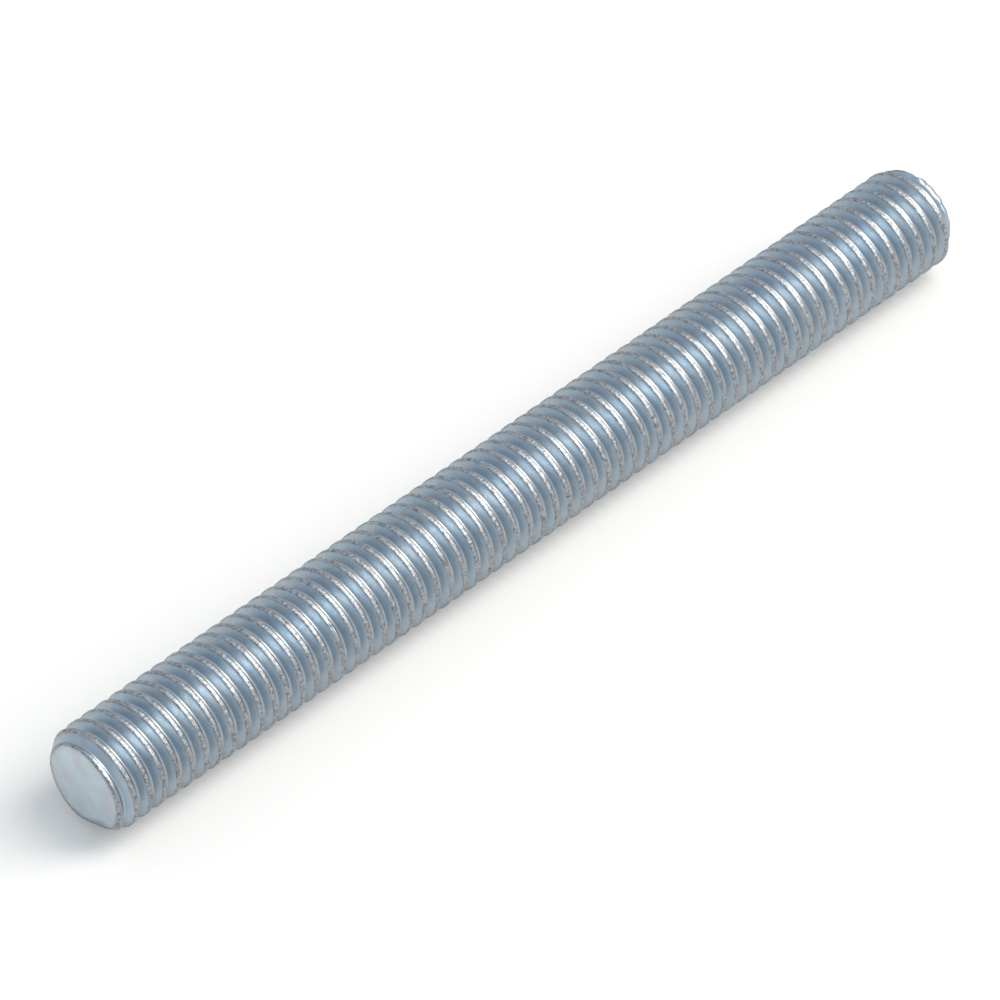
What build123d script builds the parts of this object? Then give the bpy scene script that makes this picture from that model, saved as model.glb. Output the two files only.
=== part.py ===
"""Short metric stud, threaded over its whole length: one solid piece of rolled steel.

It lies on its crests along X, with its middle over the origin and its lowest crest at Z = 0.
"""

import os
from math import ceil, cos, radians, sin, tan

from build123d import *

# Sizes in millimetres
length = 80.0             # over both end faces
crest_diameter = 7.76     # over the thread's flat crests, at the low end of the size for M8
pitch_diameter = 7.16     # where groove and ridge are equally wide
root_diameter = 6.42      # at the bottom of the groove
pitch = 1.25              # one turn of the right-hand thread
flank_angle = 30          # each flank's lean from square to the axis, in degrees
root_radius = 0.15        # the rolled round at the bottom of the groove
bevel = 0.93              # taken off the corner of each end face, at 45 degrees
first_groove_turn = 0.27  # how far in from the -X face the groove crosses the top, in turns
cutter_overrun = 0.3      # how far the groove's cutter stands out of the metal

# Worked out from those
crest_radius = crest_diameter / 2
root_bottom = root_diameter / 2
lean = radians(flank_angle)
near_face_x = -length / 2

# The groove is a V with a round bottom. Its flanks would meet at sharp_bottom from the axis
sharp_bottom = pitch_diameter / 2 - (pitch / 4) / tan(lean)
cutter_top = crest_radius + cutter_overrun
cutter_half_width = (cutter_top - sharp_bottom) * tan(lean)
round_top = root_bottom + root_radius - root_radius * sin(lean)
round_half_width = root_radius * cos(lean)
flank_foot_half_width = (round_top - sharp_bottom) * tan(lean)

# It starts on the top line, less than a turn outside the -X face, and runs on past the +X face
groove_start = Plane(
    origin=(near_face_x + (first_groove_turn - 1) * pitch, 0, crest_radius),
    x_dir=(1, 0, 0),
    z_dir=(0, -1, 0),
)
groove_turns = ceil(length / pitch) + 2
groove_path = Helix(
    pitch=pitch,
    height=groove_turns * pitch,
    radius=root_bottom,
    center=groove_start.origin,
    direction=groove_start.x_dir,
)

with BuildPart() as groove:
    with BuildSketch(groove_start):
        with BuildLine():
            left_flank = Line((-cutter_half_width, cutter_top), (-flank_foot_half_width, round_top))
            right_flank = Line((flank_foot_half_width, round_top), (cutter_half_width, cutter_top))
            ThreePointArc(left_flank @ 1, (0, root_bottom), right_flank @ 0)
            Line(right_flank @ 1, left_flank @ 0)
        make_face()
    sweep(path=groove_path, is_frenet=True)

# The blank is a plain bar, bevelled at both ends before it is threaded
with BuildPart() as rod:
    with BuildSketch(Plane(origin=(near_face_x, 0, crest_radius), x_dir=(0, 1, 0), z_dir=(1, 0, 0))):
        Circle(crest_radius)
    extrude(amount=length)
    chamfer(rod.edges().filter_by(GeomType.CIRCLE), bevel)
    add(groove.part, mode=Mode.SUBTRACT, clean=False)

rod.part.label = "threaded_rod"

os.makedirs("parts", exist_ok=True)
export_step(rod.part, "parts/threaded_rod.step")
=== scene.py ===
"""A short threaded steel stud, zinc plated, lying on a pale floor in soft studio light.

The stud's visible surface is one helical mesh that stands for the CAD solid. All lengths are in
metres, worked out from the solid's box and from the sizes of the M8 coarse thread.
"""

from math import radians, tan, tau

import bmesh
import bpy
import numpy as np
from mathutils import Matrix, Vector


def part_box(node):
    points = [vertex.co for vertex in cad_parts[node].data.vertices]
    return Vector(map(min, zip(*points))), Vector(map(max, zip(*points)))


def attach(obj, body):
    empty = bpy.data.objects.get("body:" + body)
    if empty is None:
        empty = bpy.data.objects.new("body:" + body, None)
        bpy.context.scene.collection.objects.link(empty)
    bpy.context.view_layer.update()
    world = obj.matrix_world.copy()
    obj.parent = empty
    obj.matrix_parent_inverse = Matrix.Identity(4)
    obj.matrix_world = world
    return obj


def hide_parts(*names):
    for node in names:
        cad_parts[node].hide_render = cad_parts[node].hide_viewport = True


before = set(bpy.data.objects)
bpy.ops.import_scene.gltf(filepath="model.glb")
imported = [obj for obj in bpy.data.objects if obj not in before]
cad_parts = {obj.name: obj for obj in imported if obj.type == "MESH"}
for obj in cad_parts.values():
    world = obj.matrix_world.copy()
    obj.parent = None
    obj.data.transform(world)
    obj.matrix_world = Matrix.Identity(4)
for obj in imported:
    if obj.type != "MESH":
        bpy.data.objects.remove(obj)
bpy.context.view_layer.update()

MM = 0.001

# ---------------------------------------------------------------- the stud's sizes
low, high = (np.array(corner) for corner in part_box("threaded_rod"))
NEAR_X, FAR_X = low[0], high[0]            # the two end faces
CREST_R = 3.88 * MM
AXIS_Z = 3.88 * MM                         # the rod lies on its crests
ROOT_R = 3.21 * MM
PITCH = 1.25 * MM
PITCH_R = 3.58 * MM                        # where groove and ridge are equally wide
CREST_CORNER = 0.035 * MM                  # the worn round along each edge of the crest
CREST_EDGE = 0.15 * MM                     # how far below the crests the untouched metal reaches
LEAN = radians(30)                         # each flank's lean from square to the axis
SHARP_R = PITCH_R - PITCH / 4 / tan(LEAN)  # where the two flanks of a groove would meet
ROOT_ROUND = ROOT_R - SHARP_R              # the round at the bottom, which touches both flanks
GROOVE_LEAD = 0.27                         # turns past NEAR_X at which the groove crosses the top

COLUMNS = 96                               # steps in one turn
SPARE_TURNS = 4                            # turns of the strip beyond the rod, to fold on to its ends

# How far the rolled crests fall short of full, least, more and in the crease along their middle
WEAR_LEAST = 0.003 * MM
WEAR_MORE = 0.022 * MM
CREASE_DEPTH = 0.014 * MM
CREASE_HALF_WIDTH = 0.06 * MM

# How softly the bevels meet the thread, and how far the cut faces are hollowed
NEAR_SOFTNESS = 0.10 * MM
FAR_SOFTNESS = 0.12 * MM
DISH = 0.03 * MM


# ---------------------------------------------------------------- small helpers
def smoothstep(edge_low, edge_high, value):
    """0 below edge_low, 1 above edge_high, and an S-shaped cubic between them."""
    share = np.clip((value - edge_low) / (edge_high - edge_low), 0, 1)
    return share * share * (3 - 2 * share)


def soft_min(first, second, width):
    """The smaller of two heights, rounded off by a parabola where they differ by less than width."""
    mixed = np.clip(0.5 + 0.5 * (second - first) / width, 0, 1)
    return second + (first - second) * mixed - width * mixed * (1 - mixed)


def wander(run, seed, waves, slowest, fastest, closed=False):
    """A smooth wandering value between about -1 and 1 along run: a sum of sines whose rates and
    phases are drawn from a seeded generator. Closed, it meets itself after one turn of run."""
    draw = np.random.default_rng(seed)
    rates = draw.uniform(slowest, fastest, waves)
    if closed:
        rates = np.round(rates)
    phases = draw.uniform(0, tau, waves)
    total = sum(np.sin(rate * run + phase) for rate, phase in zip(rates, phases))
    return total / np.sqrt(waves) / 1.4


def bump_at(angle, centre_deg, width_deg):
    """A bell of height 1 at one angle round the rod, width_deg to where it has fallen to 1/e."""
    off = (angle - radians(centre_deg) + tau / 2) % tau - tau / 2
    return np.exp(-((off / radians(width_deg)) ** 2))


# ---------------------------------------------------------------- the thread's surface
def groove_profile():
    """One pitch of the thread, as offsets along the axis from the groove's middle and as radii.

    From the groove's middle outwards: a round bottom of ROOT_ROUND up to where the flank is its
    tangent, a straight flank with a row at CREST_EDGE, a small corner, and the flat crest. The left
    half mirrors it.
    """
    turn = np.radians([0, 30, 60])
    bottom = np.stack([ROOT_ROUND * np.sin(turn), ROOT_R + ROOT_ROUND * (1 - np.cos(turn))], 1)
    edge = (CREST_R - SHARP_R) * tan(LEAN)
    upper = np.array(
        [
            [(CREST_R - CREST_EDGE - SHARP_R) * tan(LEAN), CREST_R - CREST_EDGE],
            [(CREST_R - CREST_CORNER - SHARP_R) * tan(LEAN), CREST_R - CREST_CORNER],
            [edge + 0.6 * CREST_CORNER, CREST_R],
            [(edge + PITCH / 2) / 2, CREST_R],
        ]
    )
    half = np.concatenate([bottom, upper])
    middle = np.array([[PITCH / 2, CREST_R]])
    left = half[:0:-1] * [-1, 1]
    return np.concatenate([-middle * [1, -1], left, half])


PROFILE = groove_profile()
ROWS_A_TURN = len(PROFILE)


def thread_radius(x, angle):
    """The thread's radius at a point along and round the rod: the profile, read at the point's
    distance along the axis from the nearest groove's middle. Right-handed: the groove moves one
    pitch along +X in each turn from +Y towards +Z."""
    groove_x = NEAR_X + PITCH * (GROOVE_LEAD + (angle - tau / 4) / tau)
    off = (x - groove_x + PITCH / 2) % PITCH - PITCH / 2
    offs = np.append(PROFILE[:, 0], PITCH / 2)
    radii = np.append(PROFILE[:, 1], CREST_R)
    return np.interp(off, offs, radii), off


def near_bevel(inward, angle):
    """The radius left by the bevel at the -X end, a given distance inside its face: a cone, a
    little off centre and wavering, with a dent in its edge low on the -Y side and a burr beside it."""
    off_centre = 0.10 * MM * np.cos(angle - radians(216))
    dent = 0.36 * MM * bump_at(angle, 250, 25)
    burr = 0.12 * MM * bump_at(angle, 212, 16)
    waver = 0.02 * MM * wander(angle, 11, 5, 2, 9, closed=True)
    return 3.22 * MM + off_centre - dent + burr + waver + 0.75 * inward


def far_bevel(inward, angle):
    """The radius left by the bevel at the +X end: a cone, a little off centre, with a ragged lip of
    folded metal round a third of it."""
    off_centre = 0.08 * MM * np.cos(angle - radians(120))
    lip = 0.12 * MM * bump_at(angle, 110, 50) * wander(angle, 5, 8, 4, 24, closed=True)
    return 2.96 * MM + off_centre + lip + 0.9 * inward


def stud_grid():
    """The whole stud as one strip wound round the axis.

    Column j stands at angle tau * j / COLUMNS, row i at the thread's own profile points, one turn
    after another, and each row moves one pitch along in a turn, so that the rows follow the crests.
    The radius is the smaller of the thread and the bevels. Rows that run past an end face fold on
    to it: the further past, the nearer the axis, down to a pole. In each column the row nearest to
    an end face is put exactly on its edge.
    """
    turns = int(np.ceil((FAR_X - NEAR_X) / PITCH)) + SPARE_TURNS
    rows = turns * ROWS_A_TURN
    row = np.arange(rows)
    along = PROFILE[row % ROWS_A_TURN, 0] + (row // ROWS_A_TURN - SPARE_TURNS // 2) * PITCH
    angle = tau * np.arange(COLUMNS) / COLUMNS
    start = NEAR_X + PITCH * (GROOVE_LEAD + (angle - tau / 4) / tau)
    x = along[:, None] + start[None, :]
    for end_x in (NEAR_X, FAR_X):
        nearest = np.argmin(np.abs(x - end_x), axis=0)
        x[nearest, np.arange(COLUMNS)] = end_x
    round_rod = np.broadcast_to(angle, x.shape)

    on_x = np.clip(x, NEAR_X, FAR_X)
    plain, off = thread_radius(on_x, round_rod)
    run = np.broadcast_to((row // ROWS_A_TURN)[:, None] + angle[None, :] / tau, x.shape)
    crest = smoothstep(CREST_R - CREST_EDGE, CREST_R - 0.01 * MM, plain)

    # Rolled crests aren't quite filled: they wander in height, and have a shallow crease
    crease = np.exp(-(((np.abs(off) - PITCH / 2) / CREASE_HALF_WIDTH) ** 2))
    wear_share = np.clip(0.5 + 0.5 * wander(run, 3, 12, 3, 60), 0, 1)
    worn = WEAR_LEAST + WEAR_MORE * wear_share + CREASE_DEPTH * crease
    thread = plain - crest * worn

    near_in, far_in = on_x - NEAR_X, FAR_X - on_x
    near_cone = near_bevel(near_in, round_rod)
    far_cone = far_bevel(far_in, round_rod)
    radius = soft_min(thread, near_cone, NEAR_SOFTNESS)
    radius = soft_min(radius, far_cone, FAR_SOFTNESS)

    # The bevels are partly untouched metal, and wholly so in a rim next to each end face
    bevelled = smoothstep(-0.06 * MM, 0.02 * MM, thread - np.minimum(near_cone, far_cone))
    rim = 1 - smoothstep(0.18 * MM, 0.36 * MM, np.minimum(near_in, far_in))
    bevelled = np.maximum(0.62 * bevelled, rim)

    # Past an end the surface folds on to the end face, and the radius falls to nothing
    past = np.maximum(NEAR_X - x, x - FAR_X)
    inward_share = np.clip(past / PITCH, 0, 1)
    radius = radius * (1 - inward_share)
    face = smoothstep(0, 0.10, inward_share)
    dish = DISH * smoothstep(0, 0.12, inward_share) * (past > 0)
    on_x = on_x + np.where(x < 0, dish, -dish)

    y = radius * np.cos(round_rod)
    z = AXIS_Z + radius * np.sin(round_rod)
    masks = {"crest": crest, "bevel": bevelled, "face": face}
    return np.stack([on_x, y, z], 2), inward_share, masks


def strip_faces(rows, inward_share):
    """Four corners for each cell of the strip. The last column joins the first a whole turn
    further along, and cells that lie wholly in a pole are left out."""
    row, column = np.meshgrid(np.arange(rows - 1), np.arange(COLUMNS), indexing="ij")
    wrap = column == COLUMNS - 1
    next_row = row + wrap * ROWS_A_TURN
    next_column = (column + 1) % COLUMNS
    inside = next_row + 1 < rows
    row, column, next_row, next_column = (a[inside] for a in (row, column, next_row, next_column))
    corners = np.stack(
        [
            row * COLUMNS + column,
            (row + 1) * COLUMNS + column,
            (next_row + 1) * COLUMNS + next_column,
            next_row * COLUMNS + next_column,
        ],
        1,
    )
    open_cell = (inward_share.ravel()[corners] < 1).any(1)
    return corners[open_cell]


def make_stud():
    """The stud's mesh from the strip, with its poles closed and its faces turned outwards."""
    points, inward_share, masks = stud_grid()
    faces = strip_faces(points.shape[0], inward_share)
    mesh = bpy.data.meshes.new("stud_thread")
    mesh.from_pydata(points.reshape(-1, 3), [], faces)
    for name, values in masks.items():
        layer = mesh.attributes.new(name, "FLOAT", "POINT")
        layer.data.foreach_set("value", values.ravel().astype(np.float32))
    work = bmesh.new()
    work.from_mesh(mesh)
    bmesh.ops.remove_doubles(work, verts=work.verts, dist=1e-8)
    loose = [vertex for vertex in work.verts if not vertex.link_faces]
    bmesh.ops.delete(work, geom=loose, context="VERTS")
    bmesh.ops.recalc_face_normals(work, faces=work.faces)
    work.to_mesh(mesh)
    work.free()
    mesh.polygons.foreach_set("use_smooth", np.ones(len(mesh.polygons), bool))
    stud = bpy.data.objects.new("stud_thread", mesh)
    bpy.context.scene.collection.objects.link(stud)
    return stud


# ---------------------------------------------------------------- materials
def colour(hex_code):
    """An sRGB hex colour as linear red, green, blue and an alpha of 1."""
    parts = [int(hex_code[at : at + 2], 16) / 255 for at in (1, 3, 5)]
    linear = [part / 12.92 if part <= 0.04045 else ((part + 0.055) / 1.055) ** 2.4 for part in parts]
    return (*linear, 1.0)


def add_node(tree, kind, settings=None, inputs=None):
    """Adds a node, with its settings by name and its inputs by name or number. An input that is
    another node's socket is linked, and any other value is set."""
    node = tree.nodes.new(kind)
    for name, value in (settings or {}).items():
        setattr(node, name, value)
    for name, value in (inputs or {}).items():
        if isinstance(value, bpy.types.NodeSocket):
            tree.links.new(value, node.inputs[name])
        else:
            node.inputs[name].default_value = value
    return node


def new_material(name):
    """An empty node material and its tree."""
    material = bpy.data.materials.new(name)
    material.use_nodes = True
    material.node_tree.nodes.clear()
    return material, material.node_tree


def per_mm(size_mm):
    """The scale of a noise, in metres of Object coordinates, whose features are size_mm across."""
    return 1 / (size_mm * MM)


def bright_zinc():
    """Bright electroplated zinc with a blue passivate, on rolled steel.

    The flanks, pressed smooth by the rolls, show the pale blue of the passivate in a soft mirror.
    The crests are never touched by the rolls: they are greyer, rougher, pitted and full of small
    bright grains. The cut end is matt and faintly cloudy.
    """
    material, tree = new_material("bright_zinc_blue_passivate")
    place = add_node(tree, "ShaderNodeTexCoord").outputs["Object"]
    crest = add_node(tree, "ShaderNodeAttribute", {"attribute_name": "crest"}).outputs["Fac"]
    bevel = add_node(tree, "ShaderNodeAttribute", {"attribute_name": "bevel"}).outputs["Fac"]
    face = add_node(tree, "ShaderNodeAttribute", {"attribute_name": "face"}).outputs["Fac"]

    def noise(size_mm, detail, roughness=0.5):
        inputs = {"Vector": place, "Scale": per_mm(size_mm), "Detail": detail, "Roughness": roughness}
        return add_node(tree, "ShaderNodeTexNoise", None, inputs).outputs["Fac"]

    def remap(value, from_low, from_high, to_low, to_high):
        inputs = {0: value, 1: from_low, 2: from_high, 3: to_low, 4: to_high}
        return add_node(tree, "ShaderNodeMapRange", {"clamp": True}, inputs).outputs[0]

    def maths(operation, first, second):
        inputs = {0: first, 1: second}
        return add_node(tree, "ShaderNodeMath", {"operation": operation}, inputs).outputs[0]

    def blend(share, first, second):
        inputs = {0: share, 6: first, 7: second}
        return add_node(tree, "ShaderNodeMix", {"data_type": "RGBA"}, inputs).outputs[2]

    # The untouched metal: the crests and the bevels, with a ragged edge, but not the cut face
    ragged = remap(noise(0.30, 4, 0.6), 0.3, 0.7, -0.45, 0.25)
    raw = maths("MAXIMUM", crest, bevel)
    raw = maths("MULTIPLY", raw, maths("SUBTRACT", 1.0, face))
    raw = remap(maths("ADD", raw, ragged), 0.55, 0.85, 0.0, 1.0)

    # Painted shade: a thin dark line along both edges of each crest, standing in for the shade in the
    # crease at the crest's corner, stronger here and there
    painted_edge_shade = maths("MULTIPLY", remap(crest, 0.05, 0.3, 0.0, 1.0), remap(crest, 0.6, 0.9, 1.0, 0.0))
    painted_edge_shade = maths("MULTIPLY", painted_edge_shade, remap(noise(0.7, 3), 0.4, 0.6, 0.0, 0.35))

    # The passivate's colour drifts a little from blue to grey over a few millimetres
    drift = remap(noise(3.0, 3), 0.35, 0.65, 0.0, 1.0)
    flank = blend(drift, colour("#A2B0BB"), colour("#ACB6BE"))
    clouds = remap(noise(0.5, 4, 0.6), 0.35, 0.7, 0.0, 0.4)
    flank = blend(clouds, flank, colour("#92A2AE"))
    grain = remap(noise(0.22, 3, 0.6), 0.38, 0.62, 0.0, 1.0)
    rough_metal = blend(grain, colour("#7A7B7F"), colour("#ABAAA8"))
    pits = remap(noise(0.24, 2), 0.64, 0.70, 0.0, 0.75)
    rough_metal = blend(pits, rough_metal, colour("#5A585A"))
    cut_tint = remap(noise(1.6, 3), 0.4, 0.65, 0.0, 1.0)
    cut = blend(cut_tint, colour("#C8D6DB"), colour("#C6C8D0"))
    # The painted shade along the crest edges is laid over the metal's own colour
    tint = blend(painted_edge_shade, blend(raw, flank, rough_metal), colour("#4C4E54"))
    tint = blend(face, tint, cut)

    smooth_part = remap(noise(0.4, 3), 0.3, 0.7, 0.30, 0.42)
    rough_part = remap(noise(0.12, 3), 0.3, 0.7, 0.36, 0.56)
    roughness = blend(raw, smooth_part, rough_part)
    roughness = blend(face, roughness, (0.48, 0.48, 0.48, 1))

    # Grains and pits of the crest, then the fine texture of the plating everywhere
    height = maths("MULTIPLY", noise(0.26, 2, 0.55), raw)
    coarse = add_node(
        tree, "ShaderNodeBump", None, {"Strength": 0.7, "Distance": 0.05 * MM, "Height": height}
    ).outputs[0]
    fine = add_node(
        tree,
        "ShaderNodeBump",
        None,
        {"Strength": 0.25, "Distance": 0.012 * MM, "Height": noise(0.15, 5, 0.6), "Normal": coarse},
    ).outputs[0]
    shader = add_node(
        tree,
        "ShaderNodeBsdfPrincipled",
        None,
        {"Base Color": tint, "Metallic": 1.0, "Roughness": roughness, "Normal": fine},
    )
    add_node(tree, "ShaderNodeOutputMaterial", None, {"Surface": shader.outputs[0]})
    return material


def pale_floor():
    """Matt pale seamless paper. The camera, and what the metal mirrors, see it brightened to white,
    but for the shadow."""
    material, tree = new_material("white_paper")
    ray = add_node(tree, "ShaderNodeLightPath").outputs
    either = {"operation": "MAXIMUM"}
    inputs = {0: ray["Is Glossy Ray"], 1: ray["Is Transmission Ray"]}
    mirrored = add_node(tree, "ShaderNodeMath", either, inputs).outputs[0]
    inputs = {0: ray["Is Camera Ray"], 1: mirrored}
    seen_white = add_node(tree, "ShaderNodeMath", either, inputs).outputs[0]
    paper = add_node(tree, "ShaderNodeBsdfDiffuse", None, {"Color": colour("#C3C3C2")}).outputs[0]
    glow = add_node(
        tree, "ShaderNodeEmission", None, {"Color": colour("#FFFFFF"), "Strength": 0.20}
    ).outputs[0]
    lit = add_node(tree, "ShaderNodeAddShader", None, {0: paper, 1: glow}).outputs[0]
    seen = add_node(tree, "ShaderNodeMixShader", None, {0: seen_white, 1: paper, 2: lit}).outputs[0]
    add_node(tree, "ShaderNodeOutputMaterial", None, {"Surface": seen})
    return material


# ---------------------------------------------------------------- the studio
def make_floor():
    """A flat square of paper, far larger than the view."""
    half = 1.5
    corners = [(-half, -half, 0), (half, -half, 0), (half, half, 0), (-half, half, 0)]
    mesh = bpy.data.meshes.new("floor")
    mesh.from_pydata(corners, [], [(0, 1, 2, 3)])
    floor = bpy.data.objects.new("floor", mesh)
    bpy.context.scene.collection.objects.link(floor)
    floor.data.materials.append(pale_floor())


def aim(thing, place, target, up=Vector((0, 0, 1))):
    """Stands a lamp or the camera at place, looking along its own -Z at target."""
    forward = (Vector(target) - Vector(place)).normalized()
    side = forward.cross(up).normalized()
    head = side.cross(forward)
    turn = Matrix((side, head, -forward)).transposed()
    thing.matrix_world = Matrix.Translation(place) @ turn.to_4x4()


def softbox(name, place, target, width, height, watts, tint):
    """A rectangular area lamp of one tint, aimed at target."""
    lamp = bpy.data.lights.new(name, "AREA")
    lamp.shape = "RECTANGLE"
    lamp.size = width
    lamp.size_y = height
    lamp.energy = watts
    lamp.color = colour(tint)[:3]
    thing = bpy.data.objects.new(name, lamp)
    bpy.context.scene.collection.objects.link(thing)
    aim(thing, place, target)


def make_light():
    """One long, slightly warm soft box above the stud on its +X side, and a pale, bluish room."""
    middle = (0, 0, AXIS_Z)
    softbox("key", (0.37, -0.28, 0.56), middle, 0.34, 0.80, 7.2, "#FFF8EE")
    world = bpy.data.worlds.new("grey_room")
    world.use_nodes = True
    bpy.context.scene.world = world
    tree = world.node_tree
    tree.nodes.clear()
    room = add_node(
        tree, "ShaderNodeBackground", None, {"Color": colour("#E2ECF5"), "Strength": 0.92}
    ).outputs[0]
    add_node(tree, "ShaderNodeOutputWorld", None, {"Surface": room})


def make_camera():
    """A long lens above and to one side of the near end, held level."""
    data = bpy.data.cameras.new("camera")
    data.sensor_width = 36
    data.lens = 277.8
    data.clip_end = 10
    camera = bpy.data.objects.new("camera", data)
    bpy.context.scene.collection.objects.link(camera)
    turned, raised, away = radians(44.92), radians(43.70), 521.8 * MM
    target = Vector((-1.70, -0.07, 3.88)) * MM
    level = np.cos(raised)
    forward = Vector((level * np.sin(turned), level * np.cos(turned), -np.sin(raised)))
    aim(camera, target - forward * away, target)
    bpy.context.scene.camera = camera


make_camera()
make_floor()
make_light()

stud = make_stud()
stud.data.materials.append(bright_zinc())
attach(stud, "root")
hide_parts("threaded_rod")

bpy.context.scene.view_settings.view_transform = "Standard"
